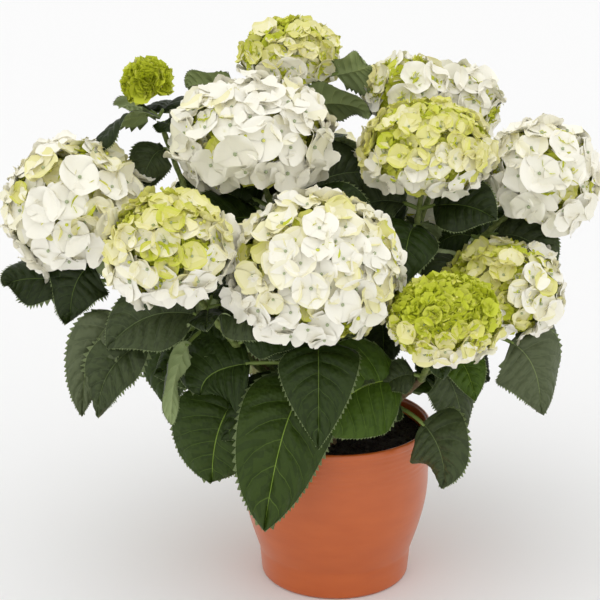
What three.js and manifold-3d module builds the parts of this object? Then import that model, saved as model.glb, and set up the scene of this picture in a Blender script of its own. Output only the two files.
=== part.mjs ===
// A mophead hydrangea in its terracotta-coloured pot: a bellied pot full of compost, seven short woody
// stems, a flowering shoot to each of fifteen heads, and the leaves that hang below the heads.
// Millimetres, +Z up. The origin is the centre of the pot's flat underside, and the front is -Y.
import * as THREE from 'three';
import { mergeVertices } from 'three/addons/utils/BufferGeometryUtils.js';
import Module from 'manifold-3d';

const wasm = await Module();
wasm.setup();

// ---- Driving dimensions ----------------------------------------------------------------------------

const GAP = 0.3; // between a piece and the one that carries it

const POT_HEIGHT = 160;
const POT_WALL = 4;
const POT_FLOOR = 6;
const FOOT_RADIUS = 73;
const FOOT_ROUND = 4;
const WAIST_RADIUS = 75.5;
const WAIST_HEIGHT = 28;
const BELLY_RADIUS = 92;
const BELLY_HEIGHT = 105;
const LIP_RADIUS = 93.2;
const LIP_HEIGHT = 6;
const OUTSIDE_STEPS = 4; // straight lines up the swell of the pot's wall
const INSIDE_STEPS = 2;
const POT_SIDES = 24;
const SOIL_HEIGHT = 148; // where the stems are cut off
const SOIL_DIP = 3; // the compost lies this much lower at the wall

const STEM_FOOT_RADIUS = 5.5;
const STEM_TOP_RADIUS = 4.2;
const SHOOT_FOOT_RADIUS = 3.6;
const SHOOT_TOP_RADIUS = 2.8;
const LIMB_SIDES = 5;
const LIMB_STEPS = 2;

const HUB_RADIUS = 5; // the shoot inside a mass of leaves
const COLLAR_EXTRA = 3.5; // how much wider than its stem the heart of a low mass is
const SOCKET_DEPTH = 3; // how far a limb runs into the mass that ends it
const PETIOLE_RADIUS = 2.5;
const LEAF_THICKNESS = 6;
const EDGE_GROWTH = 3.4; // times the gap that is kept from a leaf's thin edge
const LEAF_SIDES = 4;
const LEAF_STEPS = 4;
const FACE_LEAN = 50; // degrees that a sideways leaf turns its upper face outwards
const BACK_HALF = 40; // leaves that start behind this depth turn to the back, the others to the front

const HEAD_SIDES = 10;
const HEAD_STEPS = 7;
const HEAD_LUMPS = 0.045; // unevenness of a head, as a share of its size
const HEAD_TILT = 0.0016; // outward lean for each millimetre from the middle

// Each stem runs from its foot on the compost to its top.
const STEMS = {
  left: { foot: [-26, -8], top: [-84, -18, 238] },
  front: { foot: [-4, -30], top: [-16, -58, 222] },
  middle: { foot: [-8, 8], top: [-42, 22, 312] },
  right: { foot: [27, -12], top: [80, -52, 222] },
  far_right: { foot: [30, 14], top: [80, 42, 286] },
  back_right: { foot: [10, 32], top: [72, 96, 300] },
  back_left: { foot: [-20, 28], top: [-52, 104, 236] },
};

// The sizes that leaves come in: the straight line from node to tip, and the width of the blade.
const LEAF_SIZES = {
  large: { length: 150, width: 90 },
  broad: { length: 115, width: 95 },
  full: { length: 105, width: 75 },
  narrow: { length: 140, width: 50 },
  strap: { length: 105, width: 40 },
  young: { length: 80, width: 60 },
  small: { length: 60, width: 42 },
};

// The two ways that a leaf is held. It rises by arch and is bare for stalk, both shares of its length,
// and starts to droop at elbow, a share of its reach.
const HOLDS = {
  spread: { arch: 0.25, elbow: 0.6, stalk: 0.15 },
  hanging: { arch: 0.1, elbow: 1, stalk: 0.35 },
};

// Each flowering shoot leaves its stem at a share of the stem's length and ends in its head. The head is
// given by its centre, its radius across and its radius upwards. The mass of leaves starts at leafy, a
// share of the shoot's length. A leaf is [where on the shoot, heading in degrees from +X towards +Y,
// droop in degrees below level, size, and how it is held if it isn't spread].
const SHOOTS = {
  far_left: {
    stem: 'left', from: 1, head: [-245, -10, 380], across: 70, up: 65, leafy: 0.05,
    leaves: [
      [0.4, 210, 45, 'narrow', { hold: 'hanging' }], [0.2, 210, 30, 'narrow', { hold: 'hanging' }],
      [0.3, 180, 75, 'full', { hold: 'hanging' }], [0.2, 240, 45, 'strap', { hold: 'hanging', roll: 75 }],
      [0.7, 210, 45, 'young', { hold: 'hanging' }], [0.5, 180, 0, 'narrow', { hold: 'hanging' }],
      [0.5, 75, 15, 'full'], [0.6, 105, 30, 'full'],
    ],
  },
  left: {
    stem: 'left', from: 0.72, head: [-150, -120, 370], across: 58, up: 52, leafy: 0.25,
    leaves: [
      [0.5, 180, 15, 'full'], [0.6, 330, 15, 'young'], [0.4, 345, 0, 'young'],
      [0.3, 345, -15, 'young'], [0.6, 75, 0, 'young'],
    ],
  },
  bud: {
    stem: 'left', from: 0.5, head: [-180, 45, 485], across: 19, up: 17, leafy: 0.7,
    leaves: [
      [0.9, 225, 15, 'young'], [0.9, 75, 0, 'small'], [0.9, 135, 0, 'small'], [0.8, 225, 45, 'small'],
    ],
  },
  centre: {
    stem: 'front', from: 1, head: [-20, -95, 340], across: 84, up: 72, leafy: 0.1,
    leaves: [
      [0.2, 180, 15, 'broad', { hold: 'hanging' }], [0.4, 270, 45, 'full'],
    ],
  },
  upper_left: {
    stem: 'middle', from: 1, head: [-80, 10, 440], across: 80, up: 58, leafy: 0.2,
    leaves: [
      [0.4, 225, 0, 'full'], [0.4, 330, 0, 'full'], [0.4, 165, -15, 'full'], [0.3, 60, 0, 'young'],
      [0.5, 15, -15, 'full'], [0.6, 105, 15, 'young'], [0.5, 150, 15, 'full'],
    ],
  },
  top: {
    stem: 'middle', from: 0.7, head: [-45, 110, 500], across: 50, up: 34, leafy: 0.5,
    leaves: [
      [0.9, 195, 0, 'strap', { hold: 'hanging' }], [0.8, 180, -15, 'strap', { hold: 'hanging' }],
      [0.9, 345, -15, 'young', { hold: 'hanging' }], [0.8, 345, 0, 'young'], [0.7, 105, 0, 'young'],
      [0.6, 345, 0, 'full'], [0.6, 75, 15, 'full'], [0.6, 150, 15, 'full'],
    ],
  },
  right: {
    stem: 'right', from: 1, head: [95, -120, 305], across: 54, up: 40, leafy: 0.05,
    leaves: [
      [0.1, 30, 15, 'young'], [0.2, 0, 60, 'young'], [0.5, 105, 15, 'small'],
    ],
  },
  far_right_low: {
    stem: 'right', from: 0.7, head: [155, -20, 300], across: 60, up: 48, leafy: 0.44,
    leaves: [
      [0.4, 300, 30, 'small'], [0.6, 345, 45, 'full', { hold: 'hanging' }],
      [0.6, 15, 30, 'full', { hold: 'hanging' }], [0.5, 90, 30, 'full'],
    ],
  },
  far_right: {
    stem: 'far_right', from: 1, head: [195, 30, 395], across: 55, up: 58, leafy: 0.24,
    leaves: [
      [0.5, 330, 15, 'young'], [0.4, 60, 15, 'full'], [0.6, 90, 30, 'full'], [0.3, 255, 15, 'young'],
    ],
  },
  upper_right: {
    stem: 'far_right', from: 0.72, head: [85, 0, 430], across: 66, up: 47, leafy: 0.4,
    leaves: [
      [0.7, 165, 15, 'young'], [0.7, 330, 0, 'young'], [0.6, 255, 30, 'young'], [0.5, 150, -15, 'full'],
    ],
  },
  high_right: {
    stem: 'back_right', from: 0.8, head: [70, 100, 465], across: 40, up: 36, leafy: 0.5,
    leaves: [
      [0.6, 195, 0, 'young'], [0.7, 90, 0, 'young'], [0.6, 135, 15, 'full'],
    ],
  },
  back_high_right: {
    stem: 'back_right', from: 1, head: [125, 150, 445], across: 42, up: 38, leafy: 0.45,
    leaves: [
      [0.6, 15, 0, 'young'], [0.7, 105, 15, 'young'], [0.5, 60, 30, 'full'],
    ],
  },
  back_right: {
    stem: 'back_right', from: 0.45, head: [120, 190, 330], across: 60, up: 46, leafy: 0.35,
    leaves: [
      [0.5, 0, 15, 'full'], [0.4, 135, 30, 'full'], [0.6, 75, 30, 'broad'], [0.4, 300, 15, 'young'],
    ],
  },
  back: {
    stem: 'back_left', from: 1, head: [-10, 200, 350], across: 62, up: 48, leafy: 0.35,
    leaves: [
      [0.4, 120, 15, 'broad'], [0.5, 45, 30, 'full'], [0.4, 180, 0, 'young'], [0.6, 90, 30, 'broad'],
    ],
  },
  back_left: {
    stem: 'back_left', from: 0.6, head: [-120, 170, 325], across: 60, up: 46, leafy: 0.35,
    leaves: [
      [0.4, 195, 15, 'broad'], [0.5, 105, 30, 'broad'], [0.6, 150, 30, 'broad'],
    ],
  },
};

// The masses low on the stems, from one share of the stem's length to another.
const LOW_MASSES = {
  left: {
    from: 0.5, to: 0.9,
    leaves: [
      [0.6, 225, 45, 'broad', { hold: 'hanging' }], [0.8, 195, 0, 'full'], [0.7, 105, 15, 'full'],
    ],
  },
  front: {
    from: 0.45, to: 0.92,
    leaves: [
      [0.9, 240, 45, 'large'], [0.7, 60, 15, 'young'], [0.6, 195, 15, 'full'],
    ],
  },
  right: {
    from: 0.4, to: 0.96,
    leaves: [
      [0.9, 210, 15, 'broad', { roll: -60 }], [0.5, 300, 30, 'full', { hold: 'hanging', roll: 60 }],
      [0.6, 75, 15, 'full'],
    ],
  },
  back_right: {
    from: 0.4, to: 0.8,
    leaves: [
      [0.5, 15, 15, 'full'], [0.6, 105, 30, 'full'], [0.7, 165, 0, 'young'],
    ],
  },
  back_left: {
    from: 0.35, to: 0.8,
    leaves: [
      [0.4, 135, 15, 'broad'], [0.6, 75, 30, 'full'], [0.7, 195, 0, 'full'],
    ],
  },
};

// ---- Colours ---------------------------------------------------------------------------------------

const COLOURS = {
  pot: { color: 0xb86a43, roughness: 0.42 },
  soil: { color: 0x1c1714, roughness: 0.95 },
  stem: { color: 0x6b5a3c, roughness: 0.8 },
  bough: { color: 0x6f7d43, roughness: 0.65 },
  leaves: { color: 0x3c5230, roughness: 0.55 },
  bloom: { color: 0xe9e5cf, roughness: 0.7 },
  young: { color: 0xb3c046, roughness: 0.7 },
};
const YOUNG_HEADS = ['bud', 'right'];

// ---- Solids and meshes -----------------------------------------------------------------------------

// Turns a closed geometry into a solid, so that it can be joined and cut.
function solidOf(geometry) {
  geometry.deleteAttribute('normal');
  geometry.deleteAttribute('uv');
  const merged = mergeVertices(geometry, 1e-4);
  const triangles = [];
  const index = merged.index.array;
  for (let i = 0; i < index.length; i += 3) {
    const [a, b, c] = [index[i], index[i + 1], index[i + 2]];
    if (a !== b && b !== c && c !== a) triangles.push(a, b, c);
  }
  const vertProperties = new Float32Array(merged.attributes.position.array);
  const triVerts = new Uint32Array(triangles);
  return new wasm.Manifold(new wasm.Mesh({ numProp: 3, vertProperties, triVerts }));
}

// The largest body of a solid: what a cut leaves hanging loose is dropped.
function largest(solid) {
  const bodies = solid.decompose();
  return bodies.reduce((best, body) => (body.volume() > best.volume() ? body : best), bodies[0]);
}

function geometryOf(solid) {
  const { vertProperties, triVerts } = solid.getMesh();
  const geometry = new THREE.BufferGeometry();
  geometry.setAttribute('position', new THREE.BufferAttribute(vertProperties, 3));
  geometry.setIndex(new THREE.BufferAttribute(triVerts, 1));
  geometry.computeVertexNormals();
  return geometry;
}

// Places a geometry that stands from y = -0.5 to y = 0.5 along a curve. At each share u of the length,
// section(u) gives the half-width across and the half-thickness of a unit circle, which turn about the
// curve by the angle roll. The shape runs on past both ends of the curve by grow.
function alongCurve(geometry, curve, across, section, grow, roll = 0) {
  const position = geometry.attributes.position;
  for (let i = 0; i < position.count; i += 1) {
    const u = THREE.MathUtils.clamp(position.getY(i) + 0.5, 0, 1);
    const tangent = curve.getTangent(u);
    const side = across.clone().applyAxisAngle(tangent, roll);
    const upward = new THREE.Vector3().crossVectors(tangent, side).normalize();
    const [width, thickness] = section(u);
    const point = curve.getPoint(u).addScaledVector(tangent, grow * (2 * u - 1));
    point.addScaledVector(side, position.getX(i) * width);
    point.addScaledVector(upward, -position.getZ(i) * thickness);
    position.setXYZ(i, point.x, point.y, point.z);
  }
  return geometry;
}

// ---- Pot and compost -------------------------------------------------------------------------------

// The wall's radius at a height: upright at the foot, then swelling out over the waist to the belly.
function wallRadius(z) {
  if (z <= WAIST_HEIGHT) return THREE.MathUtils.lerp(FOOT_RADIUS, WAIST_RADIUS, z / WAIST_HEIGHT);
  const rise = Math.min(1, (z - WAIST_HEIGHT) / (BELLY_HEIGHT - WAIST_HEIGHT));
  return WAIST_RADIUS + (BELLY_RADIUS - WAIST_RADIUS) * Math.sin((rise * Math.PI) / 2);
}

// Heights at which the wall's outline has a point, from one height up to another.
function wallHeights(low, high, steps) {
  const heights = [low, WAIST_HEIGHT];
  for (let i = 1; i <= steps; i += 1) {
    heights.push(WAIST_HEIGHT + ((BELLY_HEIGHT - WAIST_HEIGHT) * i) / steps);
  }
  heights.push(high);
  return heights;
}

function turned(profile) {
  const points = profile.map(([radius, z]) => new THREE.Vector2(radius, z));
  return solidOf(new THREE.LatheGeometry(points, POT_SIDES).rotateX(Math.PI / 2));
}

function potSolid() {
  const shoulder = POT_HEIGHT - LIP_HEIGHT;
  const outside = wallHeights(FOOT_ROUND, shoulder, OUTSIDE_STEPS).map((z) => [wallRadius(z), z]);
  const heights = wallHeights(POT_FLOOR, POT_HEIGHT - 1, INSIDE_STEPS);
  const inside = heights.map((z) => [wallRadius(z) - POT_WALL, z]);
  return turned([
    [0, 0],
    [FOOT_RADIUS - FOOT_ROUND, 0],
    [FOOT_RADIUS - FOOT_ROUND * 0.3, FOOT_ROUND * 0.3],
    ...outside,
    [LIP_RADIUS, shoulder + 1.5],
    [LIP_RADIUS, POT_HEIGHT - 1.5],
    [LIP_RADIUS - 1.5, POT_HEIGHT],
    [BELLY_RADIUS - POT_WALL + 1, POT_HEIGHT],
    ...inside.reverse(),
    [0, POT_FLOOR],
  ]);
}

function soilSolid() {
  const edge = SOIL_HEIGHT - SOIL_DIP;
  const heights = wallHeights(POT_FLOOR + GAP, edge, INSIDE_STEPS);
  const side = heights.map((z) => [wallRadius(z) - POT_WALL - GAP, z]);
  const top = SOIL_HEIGHT - GAP;
  return turned([[0, POT_FLOOR + GAP], ...side, [BELLY_RADIUS * 0.55, top], [0, top]]);
}

// ---- Limbs -----------------------------------------------------------------------------------------

// A stem rises out of the compost and leans out towards its top.
function stemCurve({ foot, top }) {
  const start = new THREE.Vector3(foot[0], foot[1], SOIL_HEIGHT);
  const end = new THREE.Vector3(...top);
  const middle = start.clone().add(end).multiplyScalar(0.5);
  middle.z += 0.06 * start.distanceTo(end);
  return new THREE.QuadraticBezierCurve3(start, middle, end);
}

// A shoot heads outwards from its stem and turns up towards its head.
function shootCurve({ stem, from, head }) {
  const start = stemCurve(STEMS[stem]).getPoint(from);
  const end = new THREE.Vector3(...head);
  const run = end.clone().sub(start);
  const middle = start.clone().addScaledVector(run, 0.5);
  middle.x += 0.1 * run.x;
  middle.y += 0.1 * run.y;
  middle.z -= 0.06 * run.z;
  return new THREE.QuadraticBezierCurve3(start, middle, end);
}

// A level direction square to the plane that a limb's curve lies in.
function acrossOf(curve) {
  const run = curve.getPoint(1).sub(curve.getPoint(0));
  return new THREE.Vector3(-run.y, run.x, 0).normalize();
}

// The stretch of a curve from one share of it to another, as a curve of its own.
function stretch(curve, from, to) {
  const start = curve.getPoint(from);
  const end = curve.getPoint(to);
  const control = start.clone().addScaledVector(curve.getTangent(from), start.distanceTo(end) / 2);
  return new THREE.QuadraticBezierCurve3(start, control, end);
}

function limbSolid(curve, footRadius, topRadius, grow) {
  const shape = new THREE.CylinderGeometry(1, 1, 1, LIMB_SIDES, LIMB_STEPS);
  const section = (u) => {
    const radius = THREE.MathUtils.lerp(footRadius, topRadius, u) + grow;
    return [radius, radius];
  };
  return solidOf(alongCurve(shape, curve, acrossOf(curve), section, grow));
}

// A stem is cut off level at the compost.
function stemSolid(name, grow) {
  const stem = limbSolid(stemCurve(STEMS[name]), STEM_FOOT_RADIUS, STEM_TOP_RADIUS, grow);
  return stem.trimByPlane([0, 0, 1], SOIL_HEIGHT);
}

// A bough is the bare part of a shoot, from its stem to where it enters its leaves.
function boughSolid(name, grow) {
  const shoot = SHOOTS[name];
  const curve = shootCurve(shoot);
  const socket = SOCKET_DEPTH / curve.getLength();
  const bare = stretch(curve, 0, shoot.leafy + socket);
  const bough = limbSolid(bare, SHOOT_FOOT_RADIUS, SHOOT_TOP_RADIUS, grow);
  return bough.subtract(stemSolid(shoot.stem, grow > 0 ? -grow : GAP));
}

// ---- Flower heads ----------------------------------------------------------------------------------

// A head is an uneven, slightly flattened ball of florets that leans away from the middle of the plant.
function headSolid(name, grow) {
  const { head, across, up } = SHOOTS[name];
  const ball = new THREE.SphereGeometry(1, HEAD_SIDES, HEAD_STEPS).rotateX(Math.PI / 2);
  const position = ball.attributes.position;
  const seed = Object.keys(SHOOTS).indexOf(name);
  const lean = new THREE.Vector3(head[0] * HEAD_TILT, head[1] * HEAD_TILT, 1).normalize();
  const turn = new THREE.Quaternion().setFromUnitVectors(new THREE.Vector3(0, 0, 1), lean);
  for (let i = 0; i < position.count; i += 1) {
    const point = new THREE.Vector3().fromBufferAttribute(position, i);
    const lumpX = Math.sin(4 * point.x + 3 * point.z + seed * 2.1);
    const lumpY = Math.sin(5 * point.y - 3 * point.z + seed * 1.3);
    const lumps = lumpX + lumpY;
    const size = 1 + (HEAD_LUMPS * lumps) / 2 - HEAD_LUMPS / 2;
    point.multiply(new THREE.Vector3(across * size + grow, across * size + grow, up * size + grow));
    point.applyQuaternion(turn).add(new THREE.Vector3(...head));
    position.setXYZ(i, point.x, point.y, point.z);
  }
  return solidOf(ball);
}

// ---- Masses of leaves ------------------------------------------------------------------------------

// The half-width of a leaf at a share of its length: a slim stalk, then a pointed oval blade.
function leafSection(u, width, stalk, grow) {
  const blade = (u - stalk) / (1 - stalk);
  if (blade <= 0) return [PETIOLE_RADIUS + grow, PETIOLE_RADIUS + grow];
  const oval = Math.sin(Math.PI * Math.min(1, blade) ** 0.62);
  const half = PETIOLE_RADIUS + (width / 2 - PETIOLE_RADIUS) * oval;
  return [half + grow * EDGE_GROWTH, LEAF_THICKNESS / 2 + grow];
}

// A leaf on its curve. roll is the degrees that it turns about its midrib, where its place doesn't say.
function leafSolid(curve, [at, heading, droop, size, { hold = 'spread', roll = null } = {}], grow) {
  const { arch, elbow, stalk } = HOLDS[hold];
  const { length, width } = LEAF_SIZES[size];
  const down = THREE.MathUtils.degToRad(droop);
  const reach = length * Math.cos(down);
  const drop = length * Math.sin(down);
  const node = curve.getPoint(at);
  const angle = THREE.MathUtils.degToRad(heading);
  const ahead = new THREE.Vector3(Math.cos(angle), Math.sin(angle), 0);
  const tip = node.clone().addScaledVector(ahead, reach);
  tip.z -= drop;
  const rise = node.clone().addScaledVector(ahead, reach * elbow);
  rise.z += arch * length - Math.min(0, drop) * 0.5;
  const spine = new THREE.QuadraticBezierCurve3(node, rise, tip);
  const across = new THREE.Vector3(-ahead.y, ahead.x, 0);
  const shape = new THREE.SphereGeometry(1, LEAF_SIDES, LEAF_STEPS);
  const position = shape.attributes.position;
  // The ball's rows give the shares of the length, and its rows' circles are brought to unit size.
  for (let i = 0; i < position.count; i += 1) {
    const circle = Math.hypot(position.getX(i), position.getZ(i));
    const scale = circle > 0.01 ? 1 / circle : 0;
    const share = Math.acos(THREE.MathUtils.clamp(position.getY(i), -1, 1)) / Math.PI;
    position.setXYZ(i, position.getX(i) * scale, 0.5 - share, position.getZ(i) * scale);
  }
  const lean = (node.y < BACK_HALF ? FACE_LEAN : -FACE_LEAN) * across.y;
  const turn = THREE.MathUtils.degToRad(roll ?? lean);
  return solidOf(alongCurve(shape, spine, across, (u) => leafSection(u, width, stalk, grow), grow, turn));
}

// The mass under a head: its leaves, joined by the shoot that carries them.
function massSolid(name, grow) {
  const shoot = SHOOTS[name];
  const curve = shootCurve(shoot);
  const hub = limbSolid(stretch(curve, shoot.leafy, 1), HUB_RADIUS, HUB_RADIUS * 0.8, grow);
  const leaves = shoot.leaves.map((leaf) => leafSolid(curve, leaf, grow));
  return leaves.reduce((mass, leaf) => mass.add(leaf), hub);
}

// A mass low on a stem: its leaves, joined by a collar that the stem runs through.
function lowMassSolid(name, grow) {
  const mass = LOW_MASSES[name];
  const curve = stemCurve(STEMS[name]);
  const radius = (u) => THREE.MathUtils.lerp(STEM_FOOT_RADIUS, STEM_TOP_RADIUS, u) + COLLAR_EXTRA;
  const collar = limbSolid(stretch(curve, mass.from, mass.to), radius(mass.from), radius(mass.to), grow);
  const leaves = mass.leaves.map((leaf) => leafSolid(curve, leaf, grow));
  return leaves.reduce((all, leaf) => all.add(leaf), collar);
}

// ---- Assembly --------------------------------------------------------------------------------------

// In order: each piece gives way to the ones before it.
const pieces = [
  { name: 'pot', look: 'pot', make: potSolid },
  { name: 'soil', look: 'soil', make: soilSolid },
];
for (const name of Object.keys(STEMS)) {
  pieces.push({ name: `stem_${name}`, look: 'stem', make: (grow) => stemSolid(name, grow) });
}
for (const name of Object.keys(SHOOTS)) {
  pieces.push({ name: `bough_${name}`, look: 'bough', make: (grow) => boughSolid(name, grow) });
}
for (const name of Object.keys(SHOOTS)) {
  const look = YOUNG_HEADS.includes(name) ? 'young' : 'bloom';
  pieces.push({ name: `head_${name}`, look, make: (grow) => headSolid(name, grow) });
}
for (const name of Object.keys(SHOOTS)) {
  pieces.push({ name: `leaves_${name}`, look: 'leaves', make: (grow) => massSolid(name, grow) });
}
for (const name of Object.keys(LOW_MASSES)) {
  pieces.push({ name: `leaves_low_${name}`, look: 'leaves', make: (grow) => lowMassSolid(name, grow) });
}

function boxesMeet(a, b) {
  return [0, 1, 2].every((k) => a.min[k] <= b.max[k] + GAP && b.min[k] <= a.max[k] + GAP);
}

const plant = new THREE.Group();
const placed = [];
for (const { name, look, make } of pieces) {
  let solid = make(0);
  const box = solid.boundingBox();
  for (const other of placed) {
    if (boxesMeet(box, other.box)) solid = solid.subtract(other.grown);
  }
  solid = largest(solid);
  const material = new THREE.MeshStandardMaterial({ ...COLOURS[look], metalness: 0 });
  const mesh = new THREE.Mesh(geometryOf(solid), material);
  mesh.name = name;
  plant.add(mesh);
  // The pot and the compost are only ever met at their own faces, which keep the gap by their sizes.
  const grown = make === potSolid || make === soilSolid ? solid : make(GAP);
  placed.push({ box, grown });
}

export default plant;
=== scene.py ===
import math

import bpy
import numpy as np
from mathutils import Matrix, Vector


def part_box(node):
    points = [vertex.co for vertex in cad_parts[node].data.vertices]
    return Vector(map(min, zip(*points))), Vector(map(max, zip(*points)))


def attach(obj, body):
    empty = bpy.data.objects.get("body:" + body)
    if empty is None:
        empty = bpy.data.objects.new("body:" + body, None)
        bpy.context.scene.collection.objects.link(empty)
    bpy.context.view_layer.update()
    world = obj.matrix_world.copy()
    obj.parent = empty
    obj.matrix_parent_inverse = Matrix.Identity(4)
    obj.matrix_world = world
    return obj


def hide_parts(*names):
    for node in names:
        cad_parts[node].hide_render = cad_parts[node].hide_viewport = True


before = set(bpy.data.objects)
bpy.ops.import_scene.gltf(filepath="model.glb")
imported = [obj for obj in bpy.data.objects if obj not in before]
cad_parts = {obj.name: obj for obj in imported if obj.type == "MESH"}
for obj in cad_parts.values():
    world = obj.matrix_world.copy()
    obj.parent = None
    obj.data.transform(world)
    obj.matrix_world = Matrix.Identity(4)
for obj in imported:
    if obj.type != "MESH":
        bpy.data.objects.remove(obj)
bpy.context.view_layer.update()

MM = 0.001
UP = np.array([0.0, 0.0, 1.0])
TURN = 6.3  # a full turn, for a random start

# ---- The plant, in millimetres and degrees ----

# The sizes that leaves come in: the straight line from node to tip, and the width of the blade.
LEAF_SIZES = {
    "large": (150, 90),
    "broad": (115, 95),
    "full": (105, 75),
    "narrow": (140, 50),
    "strap": (105, 40),
    "young": (80, 60),
    "small": (60, 42),
}

# The two ways that a leaf is held: how high it rises, as a share of its length, how far out it starts to
# droop, as a share of its reach, and its bare stalk, as a share of its length.
HOLDS = {"spread": (0.25, 0.6, 0.15), "hanging": (0.1, 1.0, 0.35)}

# A leaf is (where on its shoot, heading from +X towards +Y, droop below level, size, and what differs from
# the rule: hold is how it is held, roll turns its face about its midrib, wave crinkles its edge, and green
# is its colour).
LEAVES = {
    "far_left": [
        # This leaf's green has a painted sheen.
        (0.4, 210, 45, "narrow", {"hold": "hanging", "green": "painted_sheen"}),
        (0.2, 210, 30, "narrow", {"hold": "hanging", "wave": 2.2, "green": "grey"}),
        (0.3, 180, 75, "full", {"hold": "hanging", "green": "low"}),
        (0.2, 240, 45, "strap", {"hold": "hanging", "roll": 75}),
        (0.7, 210, 45, "young", {"hold": "hanging", "wave": 2.5, "green": "deep"}),
        (0.5, 180, 0, "narrow", {"hold": "hanging", "wave": 2.5, "green": "deep"}),
        (0.5, 75, 15, "full", {}),
        (0.6, 105, 30, "full", {}),
    ],
    "left": [
        (0.5, 180, 15, "full", {"green": "grey"}),
        (0.6, 330, 15, "young", {"green": "grey"}),
        (0.4, 345, 0, "young", {}),
        (0.3, 345, -15, "young", {}),
        (0.6, 75, 0, "young", {}),
    ],
    "bud": [
        (0.9, 225, 15, "young", {"wave": 2, "green": "deep"}),
        (0.9, 75, 0, "small", {"green": "deep"}),
        (0.9, 135, 0, "small", {}),
        (0.8, 225, 45, "small", {}),
    ],
    "centre": [
        (0.2, 180, 15, "broad", {"hold": "hanging"}),
        (0.4, 270, 45, "full", {}),
    ],
    "upper_left": [
        (0.4, 225, 0, "full", {}),
        (0.4, 330, 0, "full", {}),
        (0.4, 165, -15, "full", {}),
        (0.3, 60, 0, "young", {}),
        (0.5, 15, -15, "full", {}),
        (0.6, 105, 15, "young", {}),
        (0.5, 150, 15, "full", {}),
    ],
    "top": [
        (0.9, 195, 0, "strap", {"hold": "hanging", "green": "deep"}),
        (0.8, 180, -15, "strap", {"hold": "hanging", "green": "deep"}),
        (0.9, 345, -15, "young", {"hold": "hanging", "green": "deep"}),
        (0.8, 345, 0, "young", {"green": "deep"}),
        (0.7, 105, 0, "young", {}),
        (0.6, 345, 0, "full", {}),
        (0.6, 75, 15, "full", {}),
        (0.6, 150, 15, "full", {}),
    ],
    "right": [
        (0.1, 30, 15, "young", {"green": "deep"}),
        (0.2, 0, 60, "young", {"green": "grey"}),
        (0.5, 105, 15, "small", {}),
    ],
    "far_right_low": [
        (0.4, 300, 30, "small", {"green": "fresh"}),
        # This leaf's green has a painted sheen.
        (0.6, 345, 45, "full", {"hold": "hanging", "green": "painted_sheen"}),
        (0.6, 15, 30, "full", {"hold": "hanging", "green": "grey"}),
        (0.5, 90, 30, "full", {}),
    ],
    "far_right": [
        (0.5, 330, 15, "young", {"green": "grey"}),
        (0.4, 60, 15, "full", {}),
        (0.6, 90, 30, "full", {}),
        (0.3, 255, 15, "young", {}),
    ],
    "upper_right": [
        (0.7, 165, 15, "young", {}),
        (0.7, 330, 0, "young", {}),
        (0.6, 255, 30, "young", {}),
        (0.5, 150, -15, "full", {}),
    ],
    "high_right": [(0.6, 195, 0, "young", {}), (0.7, 90, 0, "young", {}), (0.6, 135, 15, "full", {})],
    "back_high_right": [(0.6, 15, 0, "young", {}), (0.7, 105, 15, "young", {}), (0.5, 60, 30, "full", {})],
    "back_right": [
        (0.5, 0, 15, "full", {}),
        (0.4, 135, 30, "full", {}),
        (0.6, 75, 30, "broad", {}),
        (0.4, 300, 15, "young", {}),
    ],
    "back": [
        (0.4, 120, 15, "broad", {}),
        (0.5, 45, 30, "full", {}),
        (0.4, 180, 0, "young", {}),
        (0.6, 90, 30, "broad", {}),
    ],
    "back_left": [(0.4, 195, 15, "broad", {}), (0.5, 105, 30, "broad", {}), (0.6, 150, 30, "broad", {})],
    "low_left": [
        (0.6, 225, 45, "broad", {"hold": "hanging", "green": "low"}),
        (0.8, 195, 0, "full", {}),
        (0.7, 105, 15, "full", {}),
    ],
    "low_front": [
        (0.9, 240, 45, "large", {"green": "low"}),
        (0.7, 60, 15, "young", {}),
        (0.6, 195, 15, "full", {}),
    ],
    "low_right": [
        (0.9, 210, 15, "broad", {"roll": -60, "green": "fresh"}),
        (0.5, 300, 30, "full", {"hold": "hanging", "roll": 60, "green": "grey"}),
        (0.6, 75, 15, "full", {}),
    ],
    "low_back_right": [(0.5, 15, 15, "full", {}), (0.6, 105, 30, "full", {}), (0.7, 165, 0, "young", {})],
    "low_back_left": [(0.4, 135, 15, "broad", {}), (0.6, 75, 30, "full", {}), (0.7, 195, 0, "full", {})],
}

# A head is how open its florets are (0 lime buds, 1 white), which way they are more open (x, y, z), how
# many lime hollows it has, how wide each is in degrees, and the width of an open floret. All of the
# bud's florets have that width.
HEADS = {
    "far_left": (0.88, (0, -0.04, 0), 24, 5, 36),
    "left": (0.76, (0, 0, -0.24), 26, 6, 34),
    "bud": (0.3, (0, 0, 0), 0, 0, 7),
    "centre": (0.88, (0, 0, -0.04), 40, 5, 32),
    "upper_left": (1.0, (0, 0, 0), 10, 5, 38),
    "top": (0.58, (0, 0, -0.04), 10, 6, 29),
    "right": (0.38, (0, 0, -0.42), 4, 12, 28),
    "far_right_low": (0.7, (0.22, 0, 0), 14, 9, 30),
    "far_right": (0.97, (0.04, 0, 0), 14, 5, 33),
    "upper_right": (0.66, (0, 0, -0.16), 20, 7, 28),
    "high_right": (0.86, (0.1, 0, 0.08), 6, 8, 33),
    "back_high_right": (1.0, (0, 0, 0), 4, 7, 32),
    "back_right": (0.93, (0, 0, -0.1), 8, 8, 34),
    "back": (0.82, (0, 0, -0.2), 10, 8, 31),
    "back_left": (0.97, (0, 0, -0.1), 7, 8, 35),
}

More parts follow.
